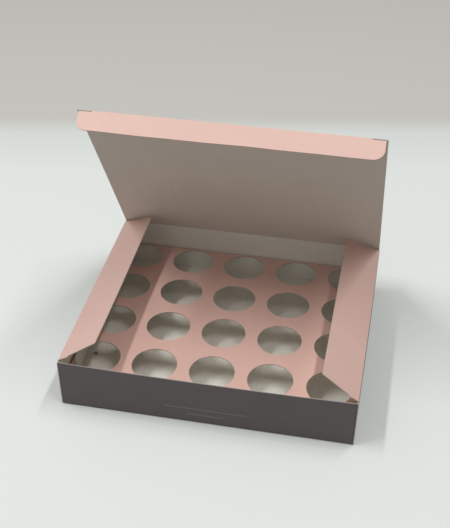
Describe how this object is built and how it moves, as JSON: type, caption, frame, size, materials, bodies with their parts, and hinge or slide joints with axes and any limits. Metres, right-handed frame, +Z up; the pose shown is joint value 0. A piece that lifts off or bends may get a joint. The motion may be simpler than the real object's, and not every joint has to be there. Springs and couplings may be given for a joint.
{
  "type": "sweets box",
  "caption": "Low tuck-top carton with a hinged lid, tuck flap, two dust flaps and a punched platform that holds small sweets upright.",
  "frame": {"origin": "middle of the floor's underside", "axes": "+X to the right along the front wall, +Y to the back wall that carries the lid, +Z up"},
  "size_m": [0.2, 0.17, 0.1818],
  "materials": {
    "printed_board": "matt charcoal print outside, unprinted pale board inside",
    "pink_board": "matt pink print on the outer face, pale board inside",
    "insert_board": "matt pink print on top, pale board below"
  },
  "bodies": {
    "tray": {"box_tray": "printed_board", "sweet_platform": "insert_board"},
    "left_flap": {"left_dust_flap": "pink_board"},
    "right_flap": {"right_dust_flap": "pink_board"},
    "lid": {"lid_panel": "printed_board"},
    "tuck": {"tuck_flap": "pink_board"}
  },
  "joints": [
    {"name": "lid_hinge", "type": "hinge", "parent": "tray", "child": "lid", "pos_m": [0, 0.0847, 0.0376], "axis": [-1, 0, 0], "range_deg": [-59, 120]},
    {"name": "left_flap_hinge", "type": "hinge", "parent": "tray", "child": "left_flap", "pos_m": [-0.0997, 0, 0.0367], "axis": [0, -1, 0], "range_deg": [-35.5, 72.1]},
    {"name": "right_flap_hinge", "type": "hinge", "parent": "tray", "child": "right_flap", "pos_m": [0.0997, 0, 0.0367], "axis": [0, 1, 0], "range_deg": [-35.5, 72.1]},
    {"name": "tuck_hinge", "type": "hinge", "parent": "lid", "child": "tuck", "pos_m": [0, -0.00172, 0.18143], "axis": [1, 0, 0], "range_deg": [-90, 8]}
  ],
  "couplings": [
    {"joint": "left_flap_hinge", "follows": "lid_hinge", "ratio": 0.6},
    {"joint": "right_flap_hinge", "follows": "lid_hinge", "ratio": 0.6}
  ]
}
